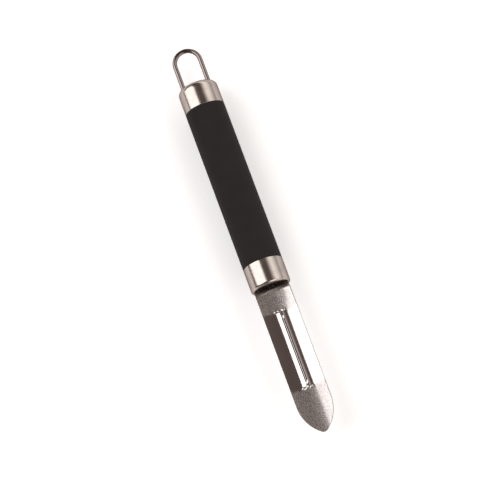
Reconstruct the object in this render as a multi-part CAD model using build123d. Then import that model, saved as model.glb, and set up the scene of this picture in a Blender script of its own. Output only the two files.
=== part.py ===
from build123d import *
import os
from math import cos, hypot, radians, sin, tan

# Vegetable peeler with a swivelling blade, in millimetres.
# The handle's axis runs along Y, with the hanging loop at +Y and the blade at -Y.
# +Z is the hollow side of the blade, and the handle lies on the plane Z = 0.
# Axial places of the handle are counted from the ferrule's closed end, towards the loop.

# Handle
HANDLE_DIAMETER = 20.0
GRIP_LENGTH = 84.8
FERRULE_LENGTH = 12.6
CAP_LENGTH = 12.8
SHEET_WALL = 0.7
FERRULE_END_WALL = 0.9
FERRULE_ROUNDING = 1.35
CAP_SHOULDER = 3.0
GRIP_WALL = 2.2
GRIP_EDGE = 0.3
SEAT_GAP = 0.02

# Core tube and the plugs pressed into it
TUBE_WALL = 0.8
SPIGOT_LENGTH = 12.0
PLUG_EDGE = 0.4
POCKET_RADIUS = 5.2
POCKET_DEPTH = 4.0

# Hanging loop
WIRE_DIAMETER = 2.3
LOOP_WIDTH = 15.2
LOOP_RISE = 20.6
LEG_DEPTH = 10.0
LEG_HOLE_GAP = 0.05

# Blade sheet
BLADE_REACH = 77.1
BLADE_WIDTH = 17.7
BLADE_SHEET = 0.8
BLADE_RISE = 3.6
TROUGH_RADIUS = 40.0
BEND_RADIUS = 1.8
POINT_LENGTH = 15.8
TIP_RADIUS = 2.5
TONGUE_RADIUS = 6.0
TONGUE_TAPER = 26.7

# Lips and slot
LIP_START = 12.6
LIP_LENGTH = 42.0
LIP_WIDTH = 2.9
LIP_HEIGHT = 0.8
LIP_END = 2.4
LIP_SHEET = 0.45
SLOT_WIDTH = 0.9

# Pivot
RIVET_DIAMETER = 2.2
RIVET_HEAD_DIAMETER = 3.6
RIVET_HEAD_HEIGHT = 0.7
RIVET_HEAD_ROUNDING = 0.5
RIVET_HEAD_GAP = 0.1
PIVOT_GAP = 0.05
FORMED_END_DIAMETER = 3.6
FORMED_END_HEIGHT = 0.8
THRUST_DIAMETER = 5.6
THRUST_THICKNESS = 0.5
SPRING_DIAMETER = 7.6
SPRING_THICKNESS = 0.3
SPRING_DISH = 0.35
BACKING_DIAMETER = 5.6
BACKING_THICKNESS = 0.5

# Tab on the ferrule's end, which stops the swing
TAB_WIDTH = 1.6
TAB_LENGTH = 2.4
TAB_RADIUS = 7.4

# How far every cutting solid stands past what it cuts
OVERRUN = 1.0

# Derived sizes
HANDLE_RADIUS = HANDLE_DIAMETER / 2
HANDLE_LENGTH = FERRULE_LENGTH + GRIP_LENGTH + CAP_LENGTH
OVERALL_LENGTH = BLADE_REACH + HANDLE_LENGTH + LOOP_RISE
FERRULE_END_Y = BLADE_REACH - OVERALL_LENGTH / 2
GRIP_START = FERRULE_LENGTH
GRIP_END = FERRULE_LENGTH + GRIP_LENGTH
TUBE_RADIUS = HANDLE_RADIUS - GRIP_WALL
TUBE_BORE = TUBE_RADIUS - TUBE_WALL
SPIGOT_RADIUS = TUBE_BORE - SEAT_GAP
PLUG_RADIUS = HANDLE_RADIUS - SHEET_WALL - SEAT_GAP
LEG_OFFSET = (LOOP_WIDTH - WIRE_DIAMETER) / 2
WIRE_RADIUS = WIRE_DIAMETER / 2
RIVET_RADIUS = RIVET_DIAMETER / 2
PIVOT_BORE = RIVET_RADIUS + PIVOT_GAP
TONGUE_BACK = -THRUST_THICKNESS
TONGUE_FRONT = TONGUE_BACK - BLADE_SHEET
SPRING_TOP = FERRULE_END_WALL + SPRING_THICKNESS + SPRING_DISH
BACKING_TOP = SPRING_TOP + BACKING_THICKNESS
BLADE_HALF = BLADE_WIDTH / 2
LIP_CENTRE = LIP_START + LIP_LENGTH / 2
SLOT_HALF = SLOT_WIDTH / 2
SLOT_LENGTH = LIP_LENGTH - 2 * LIP_END


# Shared helpers

def on_axis(solid):
    """Move a solid made about the Y axis, from the ferrule's end at y = 0, to its place in the part."""
    return Pos(0, FERRULE_END_Y, HANDLE_RADIUS) * solid


def strip(inner, outer, low, high):
    """Rectangle of a turning profile: radii inner to outer, axial places low to high."""
    return Pos((inner + outer) / 2, (low + high) / 2) * Rectangle(outer - inner, high - low)


def round_corner(profile, x, y, radius):
    """Round the corner of a flat profile that lies nearest to (x, y)."""
    corner = min(profile.vertices(), key=lambda v: hypot(v.X - x, v.Y - y))
    return fillet(corner, radius)


def turned(profile):
    """Solid of revolution about the handle's axis, from a profile of radius along X and place along Y."""
    return on_axis(revolve(profile, Axis.Y))


def legs(radius, low, high):
    """Two round bars along the axis at the places of the wire's legs."""
    bar = Pos(0, (low + high) / 2, 0) * Rot(90, 0, 0) * Cylinder(radius, high - low)
    return on_axis(Pos(-LEG_OFFSET, 0, 0) * bar) + on_axis(Pos(LEG_OFFSET, 0, 0) * bar)


# Hanging loop and end cap

def hanging_loop():
    """Wire bent into a U: two straight legs and a half round, its outside LOOP_RISE above the cap."""
    foot = HANDLE_LENGTH - LEG_DEPTH
    spring_line = HANDLE_LENGTH + LOOP_RISE - WIRE_RADIUS - LEG_OFFSET
    crown = spring_line + LEG_OFFSET
    route = (
        Line((-LEG_OFFSET, foot), (-LEG_OFFSET, spring_line))
        + ThreePointArc((-LEG_OFFSET, spring_line), (0, crown), (LEG_OFFSET, spring_line))
        + Line((LEG_OFFSET, spring_line), (LEG_OFFSET, foot))
    )
    section = Plane(origin=(-LEG_OFFSET, foot, 0), z_dir=(0, 1, 0)) * Circle(WIRE_RADIUS)
    return on_axis(sweep(section, path=route))


def end_cap():
    """Drawn cup, closed towards the loop, with a rounded shoulder and two holes for the wire."""
    outside = strip(0, HANDLE_RADIUS, GRIP_END, HANDLE_LENGTH)
    outside = round_corner(outside, HANDLE_RADIUS, HANDLE_LENGTH, CAP_SHOULDER)
    inside_radius = HANDLE_RADIUS - SHEET_WALL
    inside_end = HANDLE_LENGTH - SHEET_WALL
    inside = strip(0, inside_radius, GRIP_END - OVERRUN, inside_end)
    inside = round_corner(inside, inside_radius, inside_end, CAP_SHOULDER - SHEET_WALL)
    holes = legs(WIRE_RADIUS + LEG_HOLE_GAP, inside_end - OVERRUN, HANDLE_LENGTH + OVERRUN)
    return turned(outside - inside) - holes


def rear_plug():
    """Moulded plug that fills the cap, holds the wire's legs and stands in the core tube."""
    top = HANDLE_LENGTH - SHEET_WALL - SEAT_GAP
    head = round_corner(strip(0, PLUG_RADIUS, GRIP_END, top), PLUG_RADIUS, top, CAP_SHOULDER - SHEET_WALL)
    spigot_end = GRIP_END - SPIGOT_LENGTH
    spigot = round_corner(strip(0, SPIGOT_RADIUS, spigot_end, GRIP_END), SPIGOT_RADIUS, spigot_end, PLUG_EDGE)
    leg_bores = legs(WIRE_RADIUS + SEAT_GAP, HANDLE_LENGTH - LEG_DEPTH - SEAT_GAP, top + OVERRUN)
    return turned(head + spigot) - leg_bores


# Grip

def core_tube():
    """Stiff tube that runs the length of the soft grip and joins the two plugs."""
    return turned(strip(TUBE_BORE, TUBE_RADIUS, GRIP_START, GRIP_END))


def grip_sleeve():
    """Soft tube, flush with the metal at both ends, with slightly broken outer edges."""
    wall = strip(TUBE_RADIUS + SEAT_GAP, HANDLE_RADIUS, GRIP_START, GRIP_END)
    for end in (GRIP_START, GRIP_END):
        wall = round_corner(wall, HANDLE_RADIUS, end, GRIP_EDGE)
    return turned(wall)


def front_plug():
    """Moulded plug that fills the ferrule and stands in the core tube, hollow round the rivet's formed end."""
    seat = FERRULE_END_WALL + SEAT_GAP
    head = round_corner(strip(0, PLUG_RADIUS, seat, GRIP_START), PLUG_RADIUS, seat, FERRULE_ROUNDING)
    spigot_end = GRIP_START + SPIGOT_LENGTH
    spigot = strip(0, SPIGOT_RADIUS, GRIP_START, spigot_end)
    spigot = round_corner(spigot, SPIGOT_RADIUS, spigot_end, PLUG_EDGE)
    pocket = strip(0, POCKET_RADIUS, seat - OVERRUN, seat + POCKET_DEPTH)
    return turned(head + spigot - pocket)


# Ferrule and pivot

def front_ferrule():
    """Drawn cup with a closed end, the rivet's hole on its axis, and the tab that stops the swing."""
    outside = round_corner(strip(0, HANDLE_RADIUS, 0, FERRULE_LENGTH), HANDLE_RADIUS, 0, FERRULE_ROUNDING)
    inside = strip(0, HANDLE_RADIUS - SHEET_WALL, FERRULE_END_WALL, FERRULE_LENGTH + OVERRUN)
    hole = strip(0, PIVOT_BORE, -OVERRUN, FERRULE_END_WALL + OVERRUN)
    root = FERRULE_END_WALL / 2
    tab = Pos(0, (root - TAB_LENGTH) / 2, -TAB_RADIUS) * Box(TAB_WIDTH, root + TAB_LENGTH, SHEET_WALL)
    return turned(outside - inside - hole) + on_axis(tab)


def thrust_washer():
    """Plain washer between the ferrule's closed end and the blade's tongue."""
    return turned(strip(PIVOT_BORE, THRUST_DIAMETER / 2, -THRUST_THICKNESS, 0))


def spring_washer():
    """Dished washer: its rim stands on the ferrule's end and its inner edge carries the backing washer."""
    rim = SPRING_DIAMETER / 2
    seat = FERRULE_END_WALL
    profile = make_face(
        Polyline(
            (PIVOT_BORE, seat + SPRING_DISH),
            (rim, seat),
            (rim, seat + SPRING_THICKNESS),
            (PIVOT_BORE, SPRING_TOP),
            close=True,
        )
    )
    return turned(profile)


def backing_washer():
    """Flat washer under the rivet's formed end."""
    return turned(strip(PIVOT_BORE, BACKING_DIAMETER / 2, SPRING_TOP, BACKING_TOP))


def pivot_rivet():
    """Rivet fixed in the blade's tongue: it turns in the ferrule and is formed over the washers inside."""
    head_radius = RIVET_HEAD_DIAMETER / 2
    head_end = TONGUE_FRONT - RIVET_HEAD_HEIGHT
    head = round_corner(strip(0, head_radius, head_end, TONGUE_FRONT), head_radius, head_end, RIVET_HEAD_ROUNDING)
    formed_radius = FORMED_END_DIAMETER / 2
    formed_top = BACKING_TOP + FORMED_END_HEIGHT
    formed = round_corner(
        strip(0, formed_radius, BACKING_TOP, formed_top), formed_radius, formed_top, FORMED_END_HEIGHT / 2
    )
    return turned(head + strip(0, RIVET_RADIUS, TONGUE_FRONT, BACKING_TOP) + formed)


# Blade

def blade_outline():
    """Plan of the blade: a straight strip that ends in a pointed arch with a rounded tip."""
    arch_start = POINT_LENGTH - BLADE_REACH
    tip_centre = TIP_RADIUS - BLADE_REACH
    drop = arch_start - tip_centre
    arch_radius = (BLADE_HALF**2 + drop**2 - TIP_RADIUS**2) / (2 * (BLADE_HALF - TIP_RADIUS))
    towards_tip = (Vector(0, tip_centre) - Vector(BLADE_HALF - arch_radius, arch_start)).normalized()
    meet = Vector(0, tip_centre) + towards_tip * TIP_RADIUS
    mirror = Vector(-meet.X, meet.Y)
    heading = Vector(towards_tip.Y, -towards_tip.X)
    return make_face(
        Line((-BLADE_HALF, TONGUE_BACK), (BLADE_HALF, TONGUE_BACK))
        + Line((BLADE_HALF, TONGUE_BACK), (BLADE_HALF, arch_start))
        + TangentArc((BLADE_HALF, arch_start), meet, tangent=(0, -1))
        + TangentArc(meet, mirror, tangent=heading)
        + TangentArc((-BLADE_HALF, arch_start), mirror, tangent=(0, -1))
        + Line((-BLADE_HALF, arch_start), (-BLADE_HALF, TONGUE_BACK))
    )


def lip(side):
    """One raised lip: a ramp that climbs to the slot, rounded in plan and drawn down at both ends."""
    ramp_radius = (LIP_WIDTH**2 + LIP_HEIGHT**2) / (2 * LIP_HEIGHT)
    crest = SLOT_HALF
    foot = -BLADE_SHEET / 2

    def bulge(inset, reach):
        """The lip's form, drawn in by a wall's thickness, reaching towards the slot and down through the sheet."""
        radius = ramp_radius - inset
        ramp = Pos(crest, 0, LIP_HEIGHT - ramp_radius) * Rot(90, 0, 0) * Cylinder(radius, LIP_LENGTH)
        middle = crest + LIP_WIDTH / 2
        length, width = LIP_LENGTH - 2 * inset, LIP_WIDTH - 2 * inset
        plan = Pos(middle, 0) * Rot(0, 0, 90) * SlotOverall(length, width)
        if reach:
            plan += Pos((middle + crest - reach) / 2, 0) * Rectangle(middle - crest + reach, SLOT_LENGTH)
        body = Pos(0, 0, -BLADE_SHEET - OVERRUN) * extrude(plan, BLADE_SHEET + OVERRUN + LIP_HEIGHT - inset)
        rise, end, under = LIP_HEIGHT - inset, LIP_END - inset, BLADE_SHEET + OVERRUN
        side_view = Plane.YZ * (
            Pos(0, rise / 2) * Rectangle(SLOT_LENGTH, rise)
            + Pos(0, -under / 2) * Rectangle(SLOT_LENGTH + 2 * end, under)
            + Pos(SLOT_LENGTH / 2, 0) * Ellipse(end, rise)
            + Pos(-SLOT_LENGTH / 2, 0) * Ellipse(end, rise)
        )
        return body & ramp & extrude(side_view, HANDLE_RADIUS, both=True)

    above = Pos(0, 0, foot + HANDLE_RADIUS) * Box(2 * HANDLE_RADIUS, LIP_LENGTH, 2 * HANDLE_RADIUS)
    raised = bulge(0, 0) & above
    hollow = bulge(LIP_SHEET, SLOT_HALF)
    if side < 0:
        raised, hollow = mirror(raised, Plane.YZ), mirror(hollow, Plane.YZ)
    place = Pos(0, -LIP_CENTRE, BLADE_RISE)
    return place * raised, place * hollow


def tongue_outline():
    """Front view of the folded tongue: as wide as the blade, then tapered to a round end about the pivot. Its slanted
    sides touch the round end and meet the ferrule's tab when the blade has swung far enough."""
    taper = radians(TONGUE_TAPER)
    touch_x, touch_z = TONGUE_RADIUS * sin(taper), -TONGUE_RADIUS * cos(taper)
    shoulder_z = touch_z + (BLADE_HALF - touch_x) * tan(taper)
    corners = [
        (BLADE_HALF, HANDLE_RADIUS),
        (BLADE_HALF, shoulder_z),
        (touch_x, touch_z),
        (-touch_x, touch_z),
        (-BLADE_HALF, shoulder_z),
        (-BLADE_HALF, HANDLE_RADIUS),
    ]
    return make_face(Polyline(*corners, close=True)) + Circle(TONGUE_RADIUS)


def blade():
    """One pressed sheet: a pointed trough, its upper end folded down into the tongue, with two lips and a slot."""
    trough_axis = TROUGH_RADIUS + BLADE_RISE
    length = BLADE_REACH
    turn = Pos(0, -length / 2, trough_axis) * Rot(90, 0, 0)
    outer = turn * Cylinder(TROUGH_RADIUS + BLADE_SHEET, length)
    inner = turn * Cylinder(TROUGH_RADIUS, length + 2 * OVERRUN)
    outline = extrude(blade_outline(), HANDLE_RADIUS, both=True)
    tongue_plane = Plane(origin=(0, TONGUE_BACK, 0), x_dir=(1, 0, 0), z_dir=(0, -1, 0))
    tongue = extrude(tongue_plane * tongue_outline(), BLADE_SHEET)
    sheet = ((outer & outline) + tongue) - inner
    inner_bend = sheet.edges().sort_by_distance((0, TONGUE_FRONT, BLADE_RISE - BLADE_SHEET))[0]
    sheet = fillet(inner_bend, BEND_RADIUS)
    outer_bend = sheet.edges().sort_by_distance((0, TONGUE_BACK, BLADE_RISE))[0]
    sheet = fillet(outer_bend, BEND_RADIUS + BLADE_SHEET)
    hollows = []
    for side in (-1, 1):
        raised, hollow = lip(side)
        sheet += raised
        hollows.append(hollow)
    for hollow in hollows:
        sheet -= hollow
    slot_depth = 2 * (LIP_HEIGHT + BLADE_SHEET)
    sheet -= Pos(0, -LIP_CENTRE, BLADE_RISE) * Box(SLOT_WIDTH, SLOT_LENGTH, slot_depth)
    rivet_hole = strip(0, RIVET_RADIUS + SEAT_GAP, TONGUE_FRONT - OVERRUN, TONGUE_BACK + OVERRUN)
    spot_face = strip(0, RIVET_HEAD_DIAMETER / 2 + RIVET_HEAD_GAP, TONGUE_FRONT - BEND_RADIUS, TONGUE_FRONT)
    return on_axis(sheet) - turned(rivet_hole + spot_face)


PIECES = {
    "hanging_loop": hanging_loop,
    "end_cap": end_cap,
    "rear_plug": rear_plug,
    "core_tube": core_tube,
    "grip_sleeve": grip_sleeve,
    "front_plug": front_plug,
    "front_ferrule": front_ferrule,
    "pivot_rivet": pivot_rivet,
    "thrust_washer": thrust_washer,
    "spring_washer": spring_washer,
    "backing_washer": backing_washer,
    "blade": blade,
}

os.makedirs("parts", exist_ok=True)
for name, make in PIECES.items():
    piece = make()
    piece.label = name
    export_step(piece, f"parts/{name}.step")
    print(name, "volume", round(piece.volume, 1), "mm3")
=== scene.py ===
import math

import bmesh
import bpy
import numpy as np
from mathutils import Matrix, Vector


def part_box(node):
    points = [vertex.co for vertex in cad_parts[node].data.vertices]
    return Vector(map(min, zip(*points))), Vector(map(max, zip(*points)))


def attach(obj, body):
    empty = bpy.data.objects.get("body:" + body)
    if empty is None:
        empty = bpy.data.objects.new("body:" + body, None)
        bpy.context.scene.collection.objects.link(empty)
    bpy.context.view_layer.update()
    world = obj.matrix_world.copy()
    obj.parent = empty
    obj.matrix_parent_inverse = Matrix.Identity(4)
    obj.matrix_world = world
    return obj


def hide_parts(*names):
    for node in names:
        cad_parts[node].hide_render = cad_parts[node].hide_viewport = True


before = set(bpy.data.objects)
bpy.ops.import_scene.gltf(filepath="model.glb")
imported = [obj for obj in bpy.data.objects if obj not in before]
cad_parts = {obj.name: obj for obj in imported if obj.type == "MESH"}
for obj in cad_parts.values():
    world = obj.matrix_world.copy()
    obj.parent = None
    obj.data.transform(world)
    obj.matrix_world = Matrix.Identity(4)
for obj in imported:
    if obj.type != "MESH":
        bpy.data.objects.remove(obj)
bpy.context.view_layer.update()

# Vegetable peeler with a swivelling blade: the looks of its visible pieces, in metres.
# The handle's axis runs along Y, the loop at +Y, the blade at -Y, and +Z is the blade's hollow side.
MM = 0.001

# Places read from the frame
FERRULE_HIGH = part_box("front_ferrule")[1]
GRIP_LOW, GRIP_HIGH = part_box("grip_sleeve")
CAP_LOW, CAP_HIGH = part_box("end_cap")
LOOP_LOW, LOOP_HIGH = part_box("hanging_loop")
BLADE_LOW, BLADE_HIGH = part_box("blade")
WASHER_LOW, WASHER_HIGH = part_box("thrust_washer")
RIVET_LOW, RIVET_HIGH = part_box("pivot_rivet")
BACKING_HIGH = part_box("backing_washer")[1]
HANDLE_RADIUS = (GRIP_HIGH.x - GRIP_LOW.x) / 2
AXIS_Z = (GRIP_HIGH.z + GRIP_LOW.z) / 2
FERRULE_END_Y = WASHER_HIGH.y

# Metal cups and grip
SHEET_WALL = 0.7 * MM
FERRULE_END_WALL = 0.9 * MM
FERRULE_ROUNDING = 1.35 * MM
CAP_SHOULDER = 3.0 * MM
RIM_BREAK = 0.12 * MM
GRIP_WALL = 2.2 * MM
GRIP_EDGE = 0.3 * MM
LEG_HOLE_GAP = 0.05 * MM
LEG_BAR_REACH = 4 * SHEET_WALL
TAB_WIDTH = 1.6 * MM
TAB_LENGTH = 2.4 * MM
TAB_RADIUS = 7.4 * MM
TAB_EDGE = 0.12 * MM

# Wire loop
WIRE_RADIUS = (LOOP_HIGH.z - LOOP_LOW.z) / 2
LEG_OFFSET = (LOOP_HIGH.x - LOOP_LOW.x) / 2 - WIRE_RADIUS
WIRE_END_BREAK = 0.25 * MM

# Pivot
RIVET_RADIUS = 1.1 * MM
RIVET_HEAD_RADIUS = (RIVET_HIGH.x - RIVET_LOW.x) / 2
RIVET_HEAD_ROUNDING = 0.5 * MM
FORMED_END_ROUNDING = 0.4 * MM
PIVOT_BORE = 1.15 * MM
WASHER_RADIUS = (WASHER_HIGH.x - WASHER_LOW.x) / 2
WASHER_EDGE = 0.08 * MM

# Blade sheet
BLADE_SHEET = 0.8 * MM
BLADE_RISE = 3.6 * MM
TROUGH_SLOPE = 0.175
TROUGH_FOLD_WIDTH = 6.4 * MM
TROUGH_WIDTH = 3.0 * MM
TROUGH_TIP_WIDTH = 5.3 * MM
# Lengths from the fold at which the trough's round bottom starts to change width, and over which it does
TROUGH_FOLD_FROM, TROUGH_FOLD_RUN = 1.0 * MM, 12.0 * MM
TROUGH_TIP_FROM, TROUGH_TIP_RUN = 48.0 * MM, 6.0 * MM
# The crown pulls in the two ends of the bend. It fades over these two angles of the bend, in radians.
FOLD_CROWN = 0.1
FOLD_CROWN_WIDTH = 3.0 * MM
FOLD_CROWN_START, FOLD_CROWN_END = 0.6, 0.45
BEND_RADIUS = 1.8 * MM
BLADE_HALF = (BLADE_HIGH.x - BLADE_LOW.x) / 2
BLADE_REACH = FERRULE_END_Y - BLADE_LOW.y
POINT_LENGTH = 15.8 * MM
TIP_RADIUS = 2.5 * MM
TONGUE_RADIUS = 6.0 * MM
TONGUE_TAPER = math.radians(26.7)
TONGUE_FADE = 4.0 * MM
EDGE_ROUNDING = 0.08 * MM

# Polish of the blade: the slant of its strokes in radians, the noise values between which a stroke goes from
# bright to hazy, its roughness at each, and where past the lips the haze begins and is whole
STROKE_SLANT = 0.5
HAZE_STROKES = (0.44, 0.54)
HAZE_ROUGHNESS = (0.09, 0.4)
HAZE_CLOUD = 3.0 * MM
HAZE_RUN = (-1.0 * MM, 2.0 * MM)

# Lips and slot, where a pair is for the left one, towards -X, and the right one
LIP_START = 12.6 * MM
LIP_LENGTH = 42.0 * MM
LIP_WIDTHS = (2.75 * MM, 1.85 * MM)
LIP_HEIGHTS = (0.57 * MM, 0.5 * MM)
LIP_SHEET = 0.62 * MM
LIP_CLIMB = 1.25
LIP_NOSE = 0.9 * MM
LIP_NOSE_HEIGHT = 0.8
LIP_NOSE_POWER = 2.6
LIP_NOSE_BLEND = 0.3
LIP_BLEND = 0.8 * MM
LIP_FOOT = 0.28 * MM
LIP_RUN_IN = 2.0 * MM
SLOT_SIDES = (0.68 * MM, 0.7 * MM)
SLOT_BEVELS = (0.62 * MM, 0.6 * MM)
SLOT_BEVEL_STEEPNESS = 0.94
SLOT_SHIFT = 0.1 * MM
SLOT_INSET = 2.4 * MM

# Mesh fineness
TURN_STEPS = 180
WIRE_STEPS = 48
LEG_STEPS = 11
BEND_STEPS = 72
BREAK_STEPS = 4
ARC_STEPS = 10
BOX_STEPS = 24
TONGUE_STEPS = 12
SLANT_STEPS = 10
ARCH_STEPS = 34
TIP_STEPS = 14
# The blade's rows are closest from this far outside each end of the lips to this far past the end's blend.
FINE_LEAD, FINE_TAIL = 0.6 * MM, 1.0 * MM
# Points across the first share of half the blade, which holds the lip, and across the rest
LIP_SHARE = 0.41
LIP_COLUMNS, WING_COLUMNS = 34, 14
# Distance of a holding point from its corner or arc, of two points that count as one, and the small step
# that gives a normal
HOLD = 0.05 * MM
WELD = 0.0005 * MM
NORMAL_STEP = 0.002 * MM
SHARP_DEGREES = 32
SHARP_DEGREES_ROUND = 60
SHARP_DEGREES_BLADE = 40


# Colour and material helpers

# Noise values at which a pattern has reached its dark and its light tone
TONE_SHARES = (0.3, 0.7)


def hex_linear(code):
    """Linear RGBA of an sRGB hex colour: each channel c becomes ((c + 0.055) / 1.055) ** 2.4, or c / 12.92
    where it is dark."""
    channels = np.array([int(code[place:place + 2], 16) for place in (1, 3, 5)]) / 255
    linear = np.where(channels <= 0.04045, channels / 12.92, ((channels + 0.055) / 1.055) ** 2.4)
    return (*linear.tolist(), 1.0)


def add(tree, kind, settings=None, stops=(), **inputs):
    """Add a node: settings are its properties, stops the (position, colour) pairs of a colour ramp, and
    inputs are socket values, or sockets to link from. An input named in0 is the first socket."""
    node = tree.nodes.new(kind)
    for name, value in (settings or {}).items():
        setattr(node, name, value)
    for place, (position, colour) in enumerate(stops):
        bands = node.color_ramp.elements
        band = bands[place] if place < 2 else bands.new(position)
        band.position, band.color = position, colour
    for name, value in inputs.items():
        numbered = name.startswith("in") and name[2:].isdigit()
        socket = node.inputs[int(name[2:]) if numbered else name.replace("_", " ")]
        if isinstance(value, bpy.types.NodeSocket):
            tree.links.new(value, socket)
        else:
            socket.default_value = value
    return node


def new_material(name):
    """A material with an empty node tree and its output node."""
    material = bpy.data.materials.new(name)
    material.use_nodes = True
    tree = material.node_tree
    tree.nodes.clear()
    return material, tree, tree.nodes.new("ShaderNodeOutputMaterial")


def grain(tree, sizes, detail, turned=0.0):
    """Noise from 0 to 1 whose grains have the given sizes along X, Y and Z, turned about Z by an angle in
    radians. Each place is divided by the grain's size, so that one grain is one step of the noise."""
    place = add(tree, "ShaderNodeTexCoord").outputs["Object"]
    if turned:
        place = add(tree, "ShaderNodeMapping", in0=place, Rotation=(0, 0, turned)).outputs["Vector"]
    scale = [1 / size for size in sizes]
    spot = add(tree, "ShaderNodeMapping", in0=place, Scale=scale).outputs["Vector"]
    return add(tree, "ShaderNodeTexNoise", Vector=spot, Scale=1.0, Detail=detail).outputs["Fac"]


def finish(tree, out, height, strength, depth, tones, tone_by, roughness, **inputs):
    """Principled surface: a bump from a height pattern, a colour that goes softly between two hex tones with
    the pattern tone_by, and a roughness that goes between two values with the height pattern."""
    stops = [(share, hex_linear(tone)) for share, tone in zip(TONE_SHARES, tones)]
    bump = add(tree, "ShaderNodeBump", Height=height, Strength=strength, Distance=depth)
    colour = add(tree, "ShaderNodeValToRGB", Fac=tone_by, stops=stops)
    rough = add(tree, "ShaderNodeMapRange", in0=height, in3=roughness[0], in4=roughness[1])
    shader = add(tree, "ShaderNodeBsdfPrincipled", Normal=bump.outputs["Normal"],
                 Base_Color=colour.outputs["Color"], Roughness=rough.outputs["Result"], **inputs)
    tree.links.new(shader.outputs[0], out.inputs[0])
    return shader, bump


# Materials

def satin_stainless():
    """18/8 stainless, drawn and satin finished on a lathe: reflections a little soft, with fine rings."""
    material, tree, out = new_material("satin_stainless")
    # Grit lines are about 0.03 mm apart on real cups, and drawn 0.25 mm apart here so that they show.
    rings = grain(tree, (16.7 * MM, 0.25 * MM, 16.7 * MM), 3.0)
    cloud = grain(tree, (3.85 * MM, 3.85 * MM, 3.85 * MM), 2.0)
    finish(tree, out, height=rings, strength=0.035, depth=0.02 * MM, tones=("#AAA09B", "#B4ABA5"),
           tone_by=cloud, roughness=(0.16, 0.25), Metallic=1.0, Specular_Tint=hex_linear("#A89F9A"))
    return material


def polished_wire():
    """18/8 stainless wire, drawn and tumbled bright: mirror-like, with faint lines along the wire."""
    material, tree, out = new_material("polished_wire")
    # Draw lines are about 0.02 mm wide on real wire, and drawn 0.38 mm wide here so that they show.
    lines = grain(tree, (0.385 * MM, 6.25 * MM, 0.385 * MM), 2.0)
    finish(tree, out, height=lines, strength=0.03, depth=0.02 * MM, tones=("#807573", "#8A7F7C"),
           tone_by=lines, roughness=(0.07, 0.13), Metallic=1.0, Specular_Tint=hex_linear("#807573"))
    return material


def polished_blade_steel():
    """Hardened stainless strip, pressed and polished: near mirror about the lips, where the die burnished
    it, and hazy with fine slanting strokes at its fold and its tip."""
    material, tree, out = new_material("polished_blade_steel")
    # Polishing strokes are about 0.02 mm wide on a real blade, and 0.06 mm here so that they show a little.
    strokes = grain(tree, (0.0625 * MM, 0.625 * MM, 0.5 * MM), 3.0, turned=STROKE_SLANT)
    swell = grain(tree, (6.67 * MM, 22.2 * MM, 6.67 * MM), 1.0)
    shader, bump = finish(tree, out, height=strokes, strength=0.03, depth=0.02 * MM,
                          tones=("#C2BBB9", "#CCC6C4"), tone_by=swell, roughness=(0.07, 0.13), Metallic=1.0)
    soft = add(tree, "ShaderNodeBump", Height=swell, Strength=0.10, Distance=0.25 * MM)
    tree.links.new(soft.outputs["Normal"], bump.inputs["Normal"])
    # The haze begins where the distance from the lips' middle, plus a cloudy share of HAZE_CLOUD, has passed
    # the end of the lips by HAZE_RUN[0], and it is whole at HAZE_RUN[1].
    place = add(tree, "ShaderNodeTexCoord").outputs["Object"]
    along = add(tree, "ShaderNodeSeparateXYZ", Vector=place).outputs["Y"]
    middle = add(tree, "ShaderNodeMath", {"operation": "SUBTRACT"},
                 in0=along, in1=FERRULE_END_Y - LIP_MIDDLE)
    away = add(tree, "ShaderNodeMath", {"operation": "ABSOLUTE"}, in0=middle.outputs[0])
    cloud = grain(tree, (2.5 * MM, 6.25 * MM, 2.5 * MM), 2.0)
    edge = add(tree, "ShaderNodeMath", {"operation": "MULTIPLY_ADD"},
               in0=cloud, in1=HAZE_CLOUD, in2=away.outputs[0])
    hazy = add(tree, "ShaderNodeMapRange", {"interpolation_type": "SMOOTHSTEP"}, in0=edge.outputs[0],
               in1=LIP_LENGTH / 2 + HAZE_RUN[0], in2=LIP_LENGTH / 2 + HAZE_RUN[1])
    sheen = add(tree, "ShaderNodeMapRange", {"interpolation_type": "SMOOTHSTEP"}, in0=strokes,
                in1=HAZE_STROKES[0], in2=HAZE_STROKES[1], in3=HAZE_ROUGHNESS[0], in4=HAZE_ROUGHNESS[1])
    rough = shader.inputs["Roughness"]
    both = add(tree, "ShaderNodeMix", {"data_type": "FLOAT"}, in0=hazy.outputs["Result"],
               in2=rough.links[0].from_socket, in3=sheen.outputs["Result"])
    tree.links.new(both.outputs[0], rough)
    return material


def soft_black_elastomer():
    """Thermoplastic elastomer, moulded against a spark-eroded wall: dead matte black with a very fine
    grain."""
    material, tree, out = new_material("soft_black_elastomer")
    # Spark pits are about 0.05 mm wide on a real grip, and drawn 0.25 mm wide here so that they show.
    pits = grain(tree, (0.25 * MM, 0.25 * MM, 0.25 * MM), 2.0)
    cloud = grain(tree, (8.33 * MM, 8.33 * MM, 8.33 * MM), 2.0)
    finish(tree, out, height=pits, strength=0.25, depth=0.03 * MM, tones=("#272223", "#2A2526"),
           tone_by=cloud, roughness=(0.76, 0.9), Specular_IOR_Level=0.15)
    return material


def black_acetal():
    """Acetal, injection moulded and coloured black: waxy soft sheen, faint flow marks."""
    material, tree, out = new_material("black_acetal")
    flow = grain(tree, (3.33 * MM, 8.33 * MM, 3.33 * MM), 3.0)
    finish(tree, out, height=flow, strength=0.1, depth=0.05 * MM, tones=("#242322", "#2C2B2A"),
           tone_by=flow, roughness=(0.35, 0.5))
    return material


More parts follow.
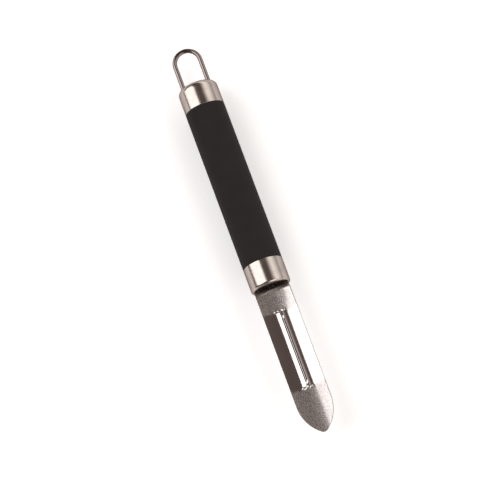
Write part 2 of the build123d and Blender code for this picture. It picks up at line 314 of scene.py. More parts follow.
def turned_steel():
    """Bright turned steel of the pivot's small pieces: tool rings about the axis."""
    material, tree, out = new_material("turned_steel")
    # Tool rings are about 0.05 mm apart on real pins, and drawn 0.17 mm apart here so that they show.
    rings = grain(tree, (5.0 * MM, 0.167 * MM, 5.0 * MM), 2.0)
    finish(tree, out, height=rings, strength=0.1, depth=0.02 * MM, tones=("#ACA5A2", "#BAB4B1"),
           tone_by=rings, roughness=(0.2, 0.34), Metallic=1.0)
    return material


def drawn_aluminium():
    """Mill-finish aluminium tube: dull silver, with draw lines along the tube."""
    material, tree, out = new_material("drawn_aluminium")
    # Draw lines are about 0.05 mm wide on real tube, and drawn 0.33 mm wide here so that they show.
    lines = grain(tree, (0.333 * MM, 11.1 * MM, 0.333 * MM), 2.0)
    finish(tree, out, height=lines, strength=0.1, depth=0.03 * MM, tones=("#C9CACC", "#D6D7D9"),
           tone_by=lines, roughness=(0.3, 0.45), Metallic=1.0)
    return material


# Mesh helpers

def shaded(mesh, sharp_degrees):
    """Smooth shading, with edges sharper than an angle kept sharp."""
    mesh.polygons.foreach_set("use_smooth", np.ones(len(mesh.polygons), bool))
    mesh.set_sharp_from_angle(angle=math.radians(sharp_degrees))
    return mesh


def welded_mesh(name, points, quads, sharp_degrees=SHARP_DEGREES):
    """Closed mesh from points and quads: equal points become one, quads that lose a side become triangles or
    vanish, and every face is turned outwards."""
    keys = np.round(points / WELD).astype(np.int64)
    _, first, inverse = np.unique(keys, axis=0, return_index=True, return_inverse=True)
    quads = inverse.reshape(-1)[quads]
    kept = quads != np.roll(quads, 1, axis=1)
    counts = kept.sum(axis=1)
    quads, kept, counts = quads[counts >= 3], kept[counts >= 3], counts[counts >= 3]
    used, corners = np.unique(quads[kept], return_inverse=True)
    starts = np.concatenate([[0], np.cumsum(counts)[:-1]])
    mesh = bpy.data.meshes.new(name)
    mesh.vertices.add(len(used))
    mesh.vertices.foreach_set("co", points[first][used].astype(np.float32).ravel())
    mesh.loops.add(len(corners))
    mesh.loops.foreach_set("vertex_index", corners.reshape(-1).astype(np.int32))
    mesh.polygons.add(len(counts))
    mesh.polygons.foreach_set("loop_start", starts.astype(np.int32))
    mesh.update(calc_edges=True)
    mesh.validate()
    work = bmesh.new()
    work.from_mesh(mesh)
    bmesh.ops.recalc_face_normals(work, faces=work.faces)
    work.to_mesh(mesh)
    work.free()
    return shaded(mesh, sharp_degrees)


def joined(name, *meshes):
    """One mesh that holds several closed shells."""
    work = bmesh.new()
    for mesh in meshes:
        work.from_mesh(mesh)
    whole = bpy.data.meshes.new(name)
    work.to_mesh(whole)
    work.free()
    return whole


def grid_quads(rows, columns, close_rows=False, close_columns=False):
    """Corner numbers of the quads of a grid whose points are counted row by row: point (i, j) has the number
    i columns + j, and a quad joins it to its neighbours in the next row and the next column."""
    row = np.arange(rows if close_rows else rows - 1)
    column = np.arange(columns if close_columns else columns - 1)
    row, column = [numbers.ravel() for numbers in np.meshgrid(row, column, indexing="ij")]
    here, below = row * columns, (row + 1) % rows * columns
    beside = (column + 1) % columns
    return np.stack([here + column, below + column, below + beside, here + beside], axis=1)


def add_piece(name, mesh, material, body, slot, *nodes):
    """Put a finished mesh into the scene as a piece that rides on a body and stands for CAD nodes."""
    piece = bpy.data.objects.new(name, mesh)
    bpy.context.scene.collection.objects.link(piece)
    mesh.materials.clear()
    mesh.materials.append(material)
    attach(piece, body)
    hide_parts(*nodes)


def rounded_path(corners):
    """Closed outline through (x, y, radius) corners, in order. Each rounded corner is an arc of that
    radius, tangent to both sides: with the corner's opening 2 h, the arc starts radius / tan h from the
    corner, its centre is radius / sin h away, and a point at a share t of its sweep w is the centre plus
    the start's and the end's own rays, weighted sin((1 - t) w) / sin w and sin(t w) / sin w. A holding
    point stands close to each end, so that shading stays true on the flats."""
    spots = np.array([corner[:2] for corner in corners], float)
    path = []
    for here, (spot, corner) in enumerate(zip(spots, corners)):
        back = spots[here - 1] - spot
        ahead = spots[(here + 1) % len(spots)] - spot
        back, ahead = back / np.linalg.norm(back), ahead / np.linalg.norm(ahead)
        radius = corner[2]
        if radius == 0:
            path += [spot + back * HOLD, spot, spot + ahead * HOLD]
            continue
        half = math.acos(np.clip(back @ ahead, -1, 1)) / 2
        reach = radius / math.tan(half)
        middle = (back + ahead) / np.linalg.norm(back + ahead)
        centre = spot + middle * radius / math.sin(half)
        start, end = spot + back * reach - centre, spot + ahead * reach - centre
        sweep = math.pi - 2 * half
        path.append(spot + back * (reach + HOLD))
        share = np.linspace(0, 1, ARC_STEPS + 1)[:, None]
        rays = np.sin((1 - share) * sweep) * start + np.sin(share * sweep) * end
        path.extend(centre + rays / math.sin(sweep))
        path.append(spot + ahead * (reach + HOLD))
    return np.array(path)


def turned_mesh(name, corners):
    """Piece turned from a closed outline of (radius, place, rounding) corners. Point (i, j) is outline
    point i, of radius r and place y, turned by angle a of step j about the handle's axis, which puts it at
    (r cos a, y, r sin a)."""
    profile = rounded_path(corners)
    angle = np.linspace(0, 2 * math.pi, TURN_STEPS, endpoint=False)
    radius = np.maximum(profile[:, :1], 0)
    points = np.stack([
        radius * np.cos(angle),
        np.repeat(profile[:, 1:], TURN_STEPS, axis=1),
        AXIS_Z + radius * np.sin(angle),
    ], axis=-1).reshape(-1, 3)
    quads = grid_quads(len(profile), TURN_STEPS, close_rows=True, close_columns=True)
    return welded_mesh(name, points, quads)


def rounded_box(name, low, high, edge):
    """Box with rounded edges. Each point is a corner of the inner box, picked by the signs of a ray's
    parts, plus the edge radius along that ray. The rays cover a globe: one of latitude u and longitude v is
    (cos u cos v, cos u sin v, sin u)."""
    latitude = np.linspace(-math.pi / 2, math.pi / 2, BOX_STEPS)
    longitude = np.linspace(0, 2 * math.pi, 2 * BOX_STEPS, endpoint=False)
    latitude, longitude = np.meshgrid(latitude, longitude, indexing="ij")
    ray = np.stack([
        np.cos(latitude) * np.cos(longitude),
        np.cos(latitude) * np.sin(longitude),
        np.sin(latitude),
    ], axis=-1).reshape(-1, 3)
    # Rounded first, so that a part which is zero but for the computer's rounding picks the middle.
    signs = np.sign(np.round(ray, 6))
    low, high = np.array(low), np.array(high)
    middle, half = (low + high) / 2, (high - low) / 2 - edge
    points = middle + signs * half + ray * edge
    quads = grid_quads(BOX_STEPS, 2 * BOX_STEPS, close_columns=True)
    return welded_mesh(name, points, quads, SHARP_DEGREES_ROUND)


# Handle pieces

def make_grip(material):
    """Soft tube between the two cups, its outer edges slightly broken."""
    outer, inner = HANDLE_RADIUS, HANDLE_RADIUS - GRIP_WALL
    low, high = GRIP_LOW.y, GRIP_HIGH.y
    corners = [(inner, low, 0), (outer, low, GRIP_EDGE), (outer, high, GRIP_EDGE), (inner, high, 0)]
    mesh = turned_mesh("soft_grip", corners)
    add_piece("soft_grip", mesh, material, "handle", "grip_rubber", "grip_sleeve")


def make_ferrule(material):
    """Drawn cup, closed towards the blade, with the stop tab lanced out of its end."""
    end, rim = FERRULE_END_Y, FERRULE_HIGH.y
    inner = HANDLE_RADIUS - SHEET_WALL
    corners = [
        (PIVOT_BORE, end, 0),
        (HANDLE_RADIUS, end, FERRULE_ROUNDING),
        (HANDLE_RADIUS, rim, RIM_BREAK),
        (inner, rim, RIM_BREAK),
        (inner, end + FERRULE_END_WALL, SHEET_WALL / 2),
        (PIVOT_BORE, end + FERRULE_END_WALL, 0),
    ]
    half_wall = SHEET_WALL / 2
    low = (-TAB_WIDTH / 2, end - TAB_LENGTH, AXIS_Z - TAB_RADIUS - half_wall)
    high = (TAB_WIDTH / 2, end + FERRULE_END_WALL / 2, AXIS_Z - TAB_RADIUS + half_wall)
    tab = rounded_box("stop_tab", low, high, TAB_EDGE)
    mesh = shaded(joined("front_cup", turned_mesh("ferrule_cup", corners), tab), SHARP_DEGREES)
    add_piece("front_cup", mesh, material, "handle", "satin_steel", "front_ferrule")


def leg_bars():
    """Two round bars through the cap's top, a little wider than the wire, as one mesh that cuts the leg
    holes. Point (i, j) of a bar lies in ring i, of radius r, turned by angle a of step j about the leg's
    own line: (r cos a, place of the ring, r sin a). The first and the last ring have no radius and close
    the bar."""
    turn = np.linspace(0, 2 * math.pi, WIRE_STEPS, endpoint=False)
    radii = (WIRE_RADIUS + LEG_HOLE_GAP) * np.array([0, 1, 1, 0])[:, None]
    places = CAP_HIGH.y + LEG_BAR_REACH * np.array([-1, -1, 1, 1])[:, None]
    quads = grid_quads(len(radii), WIRE_STEPS, close_columns=True)
    bars = []
    for side in (-1, 1):
        rings = np.stack([
            side * LEG_OFFSET + radii * np.cos(turn),
            places + 0 * turn,
            AXIS_Z + radii * np.sin(turn),
        ], axis=-1)
        bars.append(welded_mesh("leg_bar", rings.reshape(-1, 3), quads))
    return joined("leg_bars", *bars)


def make_end_cap(material):
    """Drawn cup, closed towards the loop, with a wide rounded shoulder and two holes for the wire's legs,
    which a cut with two bars makes."""
    low, top = CAP_LOW.y, CAP_HIGH.y
    inner = HANDLE_RADIUS - SHEET_WALL
    corners = [
        (0, top, 0),
        (HANDLE_RADIUS, top, CAP_SHOULDER),
        (HANDLE_RADIUS, low, RIM_BREAK),
        (inner, low, RIM_BREAK),
        (inner, top - SHEET_WALL, CAP_SHOULDER - SHEET_WALL),
        (0, top - SHEET_WALL, 0),
    ]
    blank = bpy.data.objects.new("cap_blank", turned_mesh("end_cup", corners))
    bars = bpy.data.objects.new("cap_bars", leg_bars())
    for item in (blank, bars):
        bpy.context.scene.collection.objects.link(item)
    cut = blank.modifiers.new("leg_holes", "BOOLEAN")
    cut.operation, cut.solver, cut.object = "DIFFERENCE", "EXACT", bars
    mesh = bpy.data.meshes.new_from_object(blank.evaluated_get(bpy.context.evaluated_depsgraph_get()))
    bpy.data.objects.remove(blank)
    bpy.data.objects.remove(bars)
    mesh = shaded(mesh, SHARP_DEGREES)
    add_piece("end_cup", mesh, material, "handle", "satin_steel", "end_cap")


def make_loop(material):
    """Bent wire: a circle of the wire's radius carried along two straight legs and a half round between
    them. Point (i, j) is path point i plus the radius times cos a along the path's own normal and sin a
    along Z."""
    spring_line = LOOP_HIGH.y - WIRE_RADIUS - LEG_OFFSET
    # The wire's ends are broken: in a quarter round, rings of growing radius lead from each end to the wire.
    breaks = np.linspace(0, math.pi / 2, BREAK_STEPS + 1)
    break_radii = np.concatenate([[0], WIRE_RADIUS - WIRE_END_BREAK * (1 - np.sin(breaks))])
    break_places = LOOP_LOW.y + np.concatenate([[0], WIRE_END_BREAK * (1 - np.cos(breaks))])
    straight = np.linspace(break_places[-1], spring_line, LEG_STEPS + 1)[1:]
    bend = np.linspace(math.pi, 0, BEND_STEPS + 1)[1:-1]
    leg = np.concatenate([break_places, straight])
    ones = np.ones_like(leg)
    centre_x = np.concatenate([-LEG_OFFSET * ones, LEG_OFFSET * np.cos(bend), LEG_OFFSET * ones])
    centre_y = np.concatenate([leg, spring_line + LEG_OFFSET * np.sin(bend), leg[::-1]])
    normal_x = np.concatenate([-ones, np.cos(bend), ones])
    normal_y = np.concatenate([0 * ones, np.sin(bend), 0 * ones])
    leg_radii = np.concatenate([break_radii, np.full_like(straight, WIRE_RADIUS)])
    radii = np.concatenate([leg_radii, np.full_like(bend, WIRE_RADIUS), leg_radii[::-1]])
    turn = np.linspace(0, 2 * math.pi, WIRE_STEPS, endpoint=False)
    across = radii[:, None] * np.cos(turn)
    points = np.stack([
        centre_x[:, None] + normal_x[:, None] * across,
        centre_y[:, None] + normal_y[:, None] * across,
        AXIS_Z + radii[:, None] * np.sin(turn),
    ], axis=-1).reshape(-1, 3)
    quads = grid_quads(len(radii), WIRE_STEPS, close_columns=True)
    mesh = welded_mesh("wire_loop", points, quads, SHARP_DEGREES_ROUND)
    add_piece("wire_loop", mesh, material, "handle", "polished_steel", "hanging_loop")


# Pivot pieces

def make_rivet(material):
    """Rivet with a low round head under the blade and its formed end over the washers inside the ferrule."""
    head_y, tongue_y = RIVET_LOW.y, BLADE_HIGH.y - BLADE_SHEET
    washer_y, formed_y = BACKING_HIGH.y, RIVET_HIGH.y
    corners = [
        (0, head_y, 0),
        (RIVET_HEAD_RADIUS, head_y, RIVET_HEAD_ROUNDING),
        (RIVET_HEAD_RADIUS, tongue_y, 0),
        (RIVET_RADIUS, tongue_y, 0),
        (RIVET_RADIUS, washer_y, 0),
        (RIVET_HEAD_RADIUS, washer_y, 0),
        (RIVET_HEAD_RADIUS, formed_y, FORMED_END_ROUNDING),
        (0, formed_y, 0),
    ]
    mesh = turned_mesh("domed_rivet", corners)
    add_piece("domed_rivet", mesh, material, "blade", "pivot_steel", "pivot_rivet")


def make_thrust_washer(material):
    """Plain washer in the gap between the ferrule's end and the blade's tongue, its edges slightly
    broken."""
    low, high = WASHER_LOW.y, WASHER_HIGH.y
    corners = [
        (PIVOT_BORE, low, 0),
        (WASHER_RADIUS, low, WASHER_EDGE),
        (WASHER_RADIUS, high, WASHER_EDGE),
        (PIVOT_BORE, high, 0),
    ]
    mesh = turned_mesh("gap_washer", corners)
    add_piece("gap_washer", mesh, material, "handle", "moulded_plug", "thrust_washer")


# Blade

# It is laid out flat as a blank: s is the length along its hollow side, counted from the tongue's round
# end, and along is the distance from the ferrule's end once the blank is folded.
TONGUE_BACK = BLADE_HIGH.y - FERRULE_END_Y
BEND_OUTER = BEND_RADIUS + BLADE_SHEET
BEND_START = TONGUE_RADIUS + BLADE_RISE - BEND_OUTER
BEND_END = BEND_START + math.pi / 2 * BEND_OUTER
FLAT_OFFSET = BEND_END + TONGUE_BACK - BEND_OUTER
LIP_MIDDLE = LIP_START + LIP_LENGTH / 2


def smooth(share):
    """Smooth step of a share t, held between 0 and 1: t * t * (3 - 2 t)."""
    share = np.clip(share, 0, 1)
    return share * share * (3 - 2 * share)


def lip_height(x, along):
    """Height of the two lips above the sheet, the left one wider and higher. Across, a lip climbs evenly
    from its foot to the slot: the height is 1 - LIP_CLIMB times the share of the lip's width. Towards each
    end this ramp blends into a nose, LIP_NOSE_HEIGHT (1 - q^2)^1.5, where q^p is |2 share - 1|^p plus the
    share of the nose's length to the power p, so that each lip ends like a U. Last, the height h is
    multiplied by the lip's own height and its foot is softened: h becomes (h + sqrt(h^2 + foot^2)) / 2 -
    foot^2 / (4 (|h| + foot))."""
    across = (np.abs(x) - np.where(x < 0, *SLOT_SIDES)) / np.where(x < 0, *LIP_WIDTHS)
    past = np.abs(along - LIP_MIDDLE) - (LIP_LENGTH / 2 - LIP_NOSE)
    blend = smooth((past + LIP_BLEND) / (LIP_BLEND + LIP_NOSE_BLEND * LIP_NOSE))
    climb = 1 - LIP_CLIMB * np.maximum(across, 0)
    sideways = np.abs(2 * across - 1) ** LIP_NOSE_POWER
    endways = (np.maximum(past, 0) / LIP_NOSE) ** LIP_NOSE_POWER
    reach = (sideways + endways) ** (1 / LIP_NOSE_POWER)
    nose = LIP_NOSE_HEIGHT * np.where(reach < 1, np.maximum(1 - reach**2, 0) ** 1.5, 1 - reach)
    rise = np.where(x < 0, *LIP_HEIGHTS) * ((1 - blend) * climb + blend * nose)
    return (rise + np.sqrt(rise**2 + LIP_FOOT**2)) / 2 - LIP_FOOT**2 / (4 * (np.abs(rise) + LIP_FOOT))


def dip(x, width):
    """Hyperbola with a slope of 1 and a round bottom of the given width: sqrt(x^2 + width^2) - width."""
    return np.sqrt(x**2 + width**2) - width


def sheet_point(x, s):
    """Point of the blade's hollow side at a distance x from the slot's middle and a length s along the
    blank. In the YZ plane the line runs up the tongue, round the bend by an angle of (s - start) / radius,
    and straight along the blade. Across, the trough lifts a point by slope times dip(x, width), whose round
    bottom is widest by the fold and narrowest beside the lips. On the tongue this lift fades out towards
    the pivot. On the bend the sheet is pulled in towards its two ends, by crown times dip, which fades in
    over the bend's first FOLD_CROWN_START radians and out over its last FOLD_CROWN_END. The lips stand on
    top, and x moves aside by shift (1 - (x / half)^2)^2, which puts the slot off the middle and leaves the
    blade's sides where they are."""
    turn = np.clip((s - BEND_START) / BEND_OUTER, 0, math.pi / 2)
    flat = np.maximum(s - BEND_END, 0)
    shifted = x + SLOT_SHIFT * (1 - (x / BLADE_HALF) ** 2) ** 2
    by_fold = 1 - smooth((flat - TROUGH_FOLD_FROM) / TROUGH_FOLD_RUN)
    by_tip = smooth((flat - TROUGH_TIP_FROM) / TROUGH_TIP_RUN)
    width = (TROUGH_WIDTH + (TROUGH_FOLD_WIDTH - TROUGH_WIDTH) * by_fold
             + (TROUGH_TIP_WIDTH - TROUGH_WIDTH) * by_tip)
    lift = TROUGH_SLOPE * dip(shifted, width) * smooth((s - BEND_START) / TONGUE_FADE + 1)
    pull = smooth((math.pi / 2 - turn) / FOLD_CROWN_END) * smooth(turn / FOLD_CROWN_START)
    crown = FOLD_CROWN * dip(shifted, FOLD_CROWN_WIDTH) * pull
    y = TONGUE_BACK - BEND_OUTER * (1 - np.cos(turn)) - flat - crown * np.cos(turn)
    z = np.minimum(s, BEND_START) - TONGUE_RADIUS + (BEND_OUTER - crown) * np.sin(turn)
    lips = lip_height(x, -y) * smooth(flat / LIP_RUN_IN)
    return np.stack([shifted, y + FERRULE_END_Y, z + lift + lips + AXIS_Z], axis=-1)


def sheet_layer(x, s, depth):
    """Point at a depth below the hollow side, along the surface's own normal, which is the cross product of
    a small step across and a small step ahead."""
    across = sheet_point(x + NORMAL_STEP, s) - sheet_point(x - NORMAL_STEP, s)
    ahead = sheet_point(x, s + NORMAL_STEP) - sheet_point(x, s - NORMAL_STEP)
    normal = np.cross(across, ahead)
    normal /= np.linalg.norm(normal, axis=-1, keepdims=True)
    return sheet_point(x, s) + normal * depth[..., None]


def blank_outline():
    """Right half of the flat blank, from the tongue's round end to the tip: points (x, s) and outward
    normals. It is an arc about the pivot, a slanted side that touches it, a straight side, one side of the
    pointed arch and the tip's rounding. The arch's side is an arc that carries on from the straight side
    and meets the tip's arc smoothly: its radius is (half^2 + drop^2 - tip^2) / (2 (half - tip)), where half
    is half the blade's width, tip the tip's radius and drop the length from the arch's start to the tip's
    centre."""
    foot = TONGUE_RADIUS * np.array([math.sin(TONGUE_TAPER), 1 - math.cos(TONGUE_TAPER)])
    side_from = foot[1] + (BLADE_HALF - foot[0]) * math.tan(TONGUE_TAPER)
    arch_start = FLAT_OFFSET + BLADE_REACH - POINT_LENGTH
    tip_centre = FLAT_OFFSET + BLADE_REACH - TIP_RADIUS
    drop = tip_centre - arch_start
    arch = (BLADE_HALF**2 + drop**2 - TIP_RADIUS**2) / (2 * (BLADE_HALF - TIP_RADIUS))
    meet = math.atan2(drop, arch - BLADE_HALF)
    fine_from = LIP_START - FINE_LEAD
    fine_to = LIP_START + LIP_NOSE + LIP_BLEND + FINE_TAIL
    # Each stop of the straight side is its place and how many rows lead there: most lie by the lips' ends.
    stops = [
        (side_from, 1),
        (BEND_START, 8),
        (BEND_END, 24),
        (BEND_END + LIP_RUN_IN, 6),
        (FLAT_OFFSET + fine_from, 8),
        (FLAT_OFFSET + fine_to, 56),
        (FLAT_OFFSET + 2 * LIP_MIDDLE - fine_to, 34),
        (FLAT_OFFSET + 2 * LIP_MIDDLE - fine_from, 56),
        (arch_start, 8),
    ]
    places = np.concatenate([
        np.linspace(start, end, steps + 1)[1:] for (start, _), (end, steps) in zip(stops, stops[1:])
    ])[:-1]
    front = np.linspace(0, TONGUE_TAPER, TONGUE_STEPS)
    slope = np.linspace(0, 1, SLANT_STEPS)[1:, None]
    side = np.linspace(0, meet, ARCH_STEPS)
    nose = np.linspace(meet, math.pi / 2, TIP_STEPS)[1:]
    spots = np.concatenate([
        np.stack([TONGUE_RADIUS * np.sin(front), TONGUE_RADIUS * (1 - np.cos(front))], axis=1),
        foot + slope * (np.array([BLADE_HALF, side_from]) - foot),
        np.stack([np.full_like(places, BLADE_HALF), places], axis=1),
        np.stack([BLADE_HALF - arch + arch * np.cos(side), arch_start + arch * np.sin(side)], axis=1),
        np.stack([TIP_RADIUS * np.cos(nose), tip_centre + TIP_RADIUS * np.sin(nose)], axis=1),
    ])
    normals = np.concatenate([
        np.stack([np.sin(front), -np.cos(front)], axis=1),
        np.repeat([[math.sin(TONGUE_TAPER), -math.cos(TONGUE_TAPER)]], len(slope), axis=0),
        np.repeat([[1.0, 0.0]], len(places), axis=0),
        np.stack([np.cos(side), np.sin(side)], axis=1),
        np.stack([np.cos(nose), np.sin(nose)], axis=1),
    ])
    return spots, normals


def slot_edge(along, width):
    """Distance of the slot's edge from its middle, at a distance along from the ferrule's end: straight,
    with a quarter round at each end, sqrt(width^2 - (width - r)^2) at a length r inside the slot's end."""
    reach = LIP_LENGTH / 2 - SLOT_INSET - np.abs(along - LIP_MIDDLE)
    inside = np.clip(reach, 0, width)
    return np.sqrt(np.maximum(width**2 - (width - inside) ** 2, 0)) * (reach > 0)


def make_blade(material):
    """One pressed sheet. Each half is a closed band round its own cross-section: across the hollow side,
    round the outer edge, back across the under side, and where the slot is open up its wall and its ground
    bevel. Point (i, j) of a half lies on the blank's row i, at a share of the way from the slot's edge to
    the outline, and at the sheet's depth below the hollow side."""
    spots, normals = blank_outline()
    inset = spots - EDGE_ROUNDING * normals
    by_lip = np.linspace(0, LIP_SHARE, LIP_COLUMNS)
    by_wing = np.linspace(LIP_SHARE, 1, WING_COLUMNS)[1:]
    shares = np.concatenate([by_lip, by_wing])
    s_top = np.repeat(inset[:, 1:], len(shares), axis=1)
    edge_turn = np.linspace(0, math.pi / 2, BREAK_STEPS + 1)[1:]
    round_in = EDGE_ROUNDING * (1 - np.sin(edge_turn))
    round_down = EDGE_ROUNDING * (1 - np.cos(edge_turn))
    edge_in = np.concatenate([round_in, round_in[::-1]])
    edge_down = np.concatenate([round_down, BLADE_SHEET - round_down[::-1]])
    x_edge = spots[:, :1] - edge_in * normals[:, :1]
    s_edge = spots[:, 1:] - edge_in * normals[:, 1:]
    points, quads = [], []
    for side, width, bevel in zip((-1, 1), SLOT_SIDES, SLOT_BEVELS):
        start = np.minimum(slot_edge(inset[:, 1] - FLAT_OFFSET, width), inset[:, 0])
        under = np.maximum(start - bevel, 0)
        x_top = start[:, None] + shares * (inset[:, 0] - start)[:, None]
        x_under = under[:, None] + shares * (inset[:, 0] - under)[:, None]
        x = np.concatenate([x_top, x_edge, x_under[:, ::-1], under[:, None]], axis=1)
        s = np.concatenate([s_top, s_edge, s_top[:, ::-1], inset[:, 1:]], axis=1)
        # The die stretched the sheet in the lips: it is thinnest where they rise above half the lower one.
        raised = lip_height(side * x_under, s_top - FLAT_OFFSET) * (s_top > BEND_END)
        thick = BLADE_SHEET - (BLADE_SHEET - LIP_SHEET) * smooth(2 * raised / min(LIP_HEIGHTS))
        wall = np.full((len(x), 1), bevel * SLOT_BEVEL_STEEPNESS)
        depth = np.concatenate([0 * x_top, edge_down + 0 * x_edge, thick[:, ::-1], wall], axis=1)
        rows, columns = x.shape
        row = np.arange(rows - 1)
        row = row[(start[:-1] > 0) | (start[1:] > 0)] * columns
        walls = [
            np.stack([row + above, row + columns + above, row + columns + below, row + below], axis=1)
            for above, below in ((0, columns - 1), (columns - 1, columns - 2))
        ]
        band = grid_quads(rows, columns)
        band = band[band[:, 2] % columns != columns - 1]
        quads.append(np.concatenate([band, *walls])[:, ::side] + rows * columns * len(points))
        points.append(sheet_layer(side * x, s, depth).reshape(-1, 3))
    mesh = welded_mesh("slotted_blade", np.concatenate(points), np.concatenate(quads), SHARP_DEGREES_BLADE)
    add_piece("slotted_blade", mesh, material, "blade", "blade_steel", "blade")


# Scene

GROUND_HALF = 6.0
GROUND_LIFT = 0.35
LAMP_DISTANCE = 0.9
CAMERA_TILT = math.radians(17.0)
CAMERA_ROLL = math.radians(20.4)
CAMERA_DISTANCE = 1.8
CAMERA_LENS = 272.3
CAMERA_SENSOR = 36.0
CAMERA_TARGET = Vector((-4.685 * MM, -1.55 * MM, AXIS_Z))


def dress_cad_nodes(finishes):
    """Give the CAD nodes that stay in view their finish."""
    for name, material in finishes.items():
        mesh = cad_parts[name].data
        mesh.materials.clear()
        mesh.materials.append(material)


def white_ground():
    """Matte white paper sweep: it lifts its own tone by GROUND_LIFT where the camera or a reflection sees
    it."""
    material, tree, out = new_material("white_paper")
    fibre = grain(tree, (1.11 * MM, 1.11 * MM, 1.11 * MM), 2.0)
    stops = [(share, hex_linear(tone)) for share, tone in zip(TONE_SHARES, ("#EFEFF0", "#F2F2F3"))]
    colour = add(tree, "ShaderNodeValToRGB", Fac=fibre, stops=stops)
    paper = add(tree, "ShaderNodeBsdfDiffuse", Color=colour.outputs["Color"])
    path = add(tree, "ShaderNodeLightPath").outputs
    shown = path["Is Camera Ray"]
    for ray in ("Is Glossy Ray", "Is Transmission Ray"):
        shown = add(tree, "ShaderNodeMath", {"operation": "MAXIMUM"}, in0=shown, in1=path[ray]).outputs[0]
    amount = add(tree, "ShaderNodeMath", {"operation": "MULTIPLY"}, in0=shown, in1=GROUND_LIFT)
    glow = add(tree, "ShaderNodeEmission", Strength=amount.outputs[0])
    both = add(tree, "ShaderNodeAddShader", in0=paper.outputs[0], in1=glow.outputs[0])
    tree.links.new(both.outputs[0], out.inputs[0])
    corners = [(GROUND_HALF * x, GROUND_HALF * y, 0) for x, y in ((-1, -1), (1, -1), (1, 1), (-1, 1))]
    mesh = bpy.data.meshes.new("ground")
    mesh.from_pydata(corners, [], [(0, 1, 2, 3)])
    mesh.materials.append(material)
    ground = bpy.data.objects.new("ground", mesh)
    bpy.context.scene.collection.objects.link(ground)


def turned_to(right, up, back, place):
    """Place and direction of a camera or lamp, from its own X, Y and Z axes in the scene and where it
    stands."""
    return Matrix.Translation(place) @ Matrix((right, up, back)).transposed().to_4x4()


def add_camera():
    """Camera above the blade's end, tilted from the perpendicular and rolled so that the loop leans to the
    left."""
    back = Vector((0, -math.sin(CAMERA_TILT), math.cos(CAMERA_TILT)))
    along = Vector((0, math.cos(CAMERA_TILT), math.sin(CAMERA_TILT)))
    aside = Vector((1, 0, 0))
    right = aside * math.cos(CAMERA_ROLL) - along * math.sin(CAMERA_ROLL)
    up = along * math.cos(CAMERA_ROLL) + aside * math.sin(CAMERA_ROLL)
    data = bpy.data.cameras.new("camera")
    data.lens, data.sensor_width = CAMERA_LENS, CAMERA_SENSOR
    camera = bpy.data.objects.new("camera", data)
    bpy.context.scene.collection.objects.link(camera)
    camera.matrix_world = turned_to(right, up, back, CAMERA_TARGET + back * CAMERA_DISTANCE)
    bpy.context.scene.camera = camera


def softbox(name, off_zenith, lean, roll, width, length, glow):
    """Rectangular lamp that faces the peeler. off_zenith is its angle from straight up towards +X, lean its
    angle towards the loop and roll its turn about its own middle, all in degrees, and glow is its
    brightness, where 1 is white: its power is pi times its area times that."""
    angle, tilt = math.radians(off_zenith), math.radians(lean)
    towards = Vector((math.sin(angle) * math.cos(tilt), math.sin(tilt), math.cos(angle) * math.cos(tilt)))
    data = bpy.data.lights.new(name, "AREA")
    data.shape, data.size, data.size_y = "RECTANGLE", width, length
    data.energy = glow * math.pi * width * length
    lamp = bpy.data.objects.new(name, data)
    bpy.context.scene.collection.objects.link(lamp)
    sideways = Vector((0, 1, 0)).cross(towards).normalized()
    place = Vector((0, 0, AXIS_Z)) + towards * LAMP_DISTANCE
    spin = Matrix.Rotation(math.radians(roll), 4, "Z")
    lamp.matrix_world = turned_to(sideways, towards.cross(sideways), towards, place) @ spin
    lamp.visible_camera = False


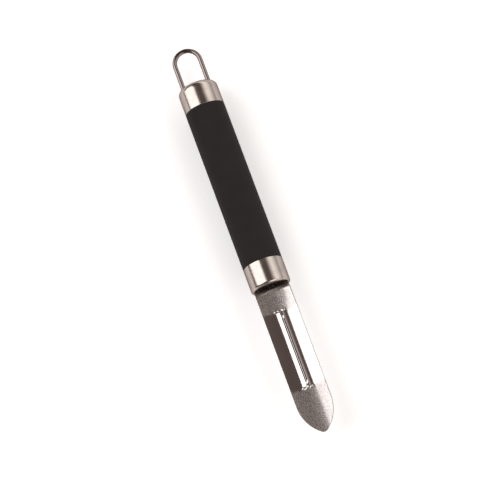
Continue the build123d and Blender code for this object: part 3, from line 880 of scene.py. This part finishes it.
# Light of the room by its angle from straight up, in degrees towards +X: dark above, where the camera
# stands, a wide window to the right, and dark again low down. A brightness of 1 is white.
ROOM_PEAK = 2.0
ROOM_DARK, ROOM_LIGHT = "#FFE6DB", "#FFFCF6"
ROOM_BANDS = [
    (-90, 0.20, ROOM_DARK), (-20, 0.18, ROOM_DARK), (-8, 0.14, ROOM_DARK), (21, 0.14, ROOM_DARK),
    (26, 0.34, ROOM_DARK), (36, 1.10, ROOM_LIGHT), (47, 1.90, ROOM_LIGHT), (58, 1.75, ROOM_LIGHT),
    (73, 1.10, ROOM_LIGHT), (86, 0.60, ROOM_LIGHT), (90, 0.30, ROOM_DARK),
]


def add_world():
    """Studio room whose brightness depends on the angle about the handle's axis: the angle from straight up
    is the arc tangent of a direction's X over its Z, and a ramp turns it into the light of ROOM_BANDS."""
    world = bpy.data.worlds.new("studio")
    bpy.context.scene.world = world
    world.use_nodes = True
    tree = world.node_tree
    tree.nodes.clear()
    out = tree.nodes.new("ShaderNodeOutputWorld")
    direction = add(tree, "ShaderNodeTexCoord").outputs["Generated"]
    parts = add(tree, "ShaderNodeSeparateXYZ", Vector=direction)
    angle = add(tree, "ShaderNodeMath", {"operation": "ARCTAN2"},
                in0=parts.outputs["X"], in1=parts.outputs["Z"])
    share = add(tree, "ShaderNodeMapRange", in0=angle.outputs[0], in1=-math.pi / 2, in2=math.pi / 2)
    stops = [
        ((degrees + 90) / 180, [channel * level / ROOM_PEAK for channel in hex_linear(tint)[:3]] + [1])
        for degrees, level, tint in ROOM_BANDS
    ]
    room = add(tree, "ShaderNodeValToRGB", Fac=share.outputs["Result"], stops=stops)
    background = add(tree, "ShaderNodeBackground", Color=room.outputs["Color"], Strength=ROOM_PEAK)
    tree.links.new(background.outputs[0], out.inputs[0])


def build():
    """Make every piece, the ground, the lamps and the camera."""
    satin, turned, acetal = satin_stainless(), turned_steel(), black_acetal()
    make_grip(soft_black_elastomer())
    make_ferrule(satin)
    make_end_cap(satin)
    make_loop(polished_wire())
    make_blade(polished_blade_steel())
    make_rivet(turned)
    make_thrust_washer(acetal)
    dress_cad_nodes({
        "rear_plug": acetal, "front_plug": acetal, "core_tube": drawn_aluminium(),
        "spring_washer": turned, "backing_washer": turned,
    })
    white_ground()
    add_world()
    softbox("left_softbox", off_zenith=-43.5, lean=18, roll=34, width=0.84, length=0.95, glow=2.5)
    softbox("front_softbox", off_zenith=22, lean=-50, roll=0, width=0.4, length=0.5, glow=2.0)
    add_camera()
    bpy.context.scene.view_settings.view_transform = "Standard"


build()
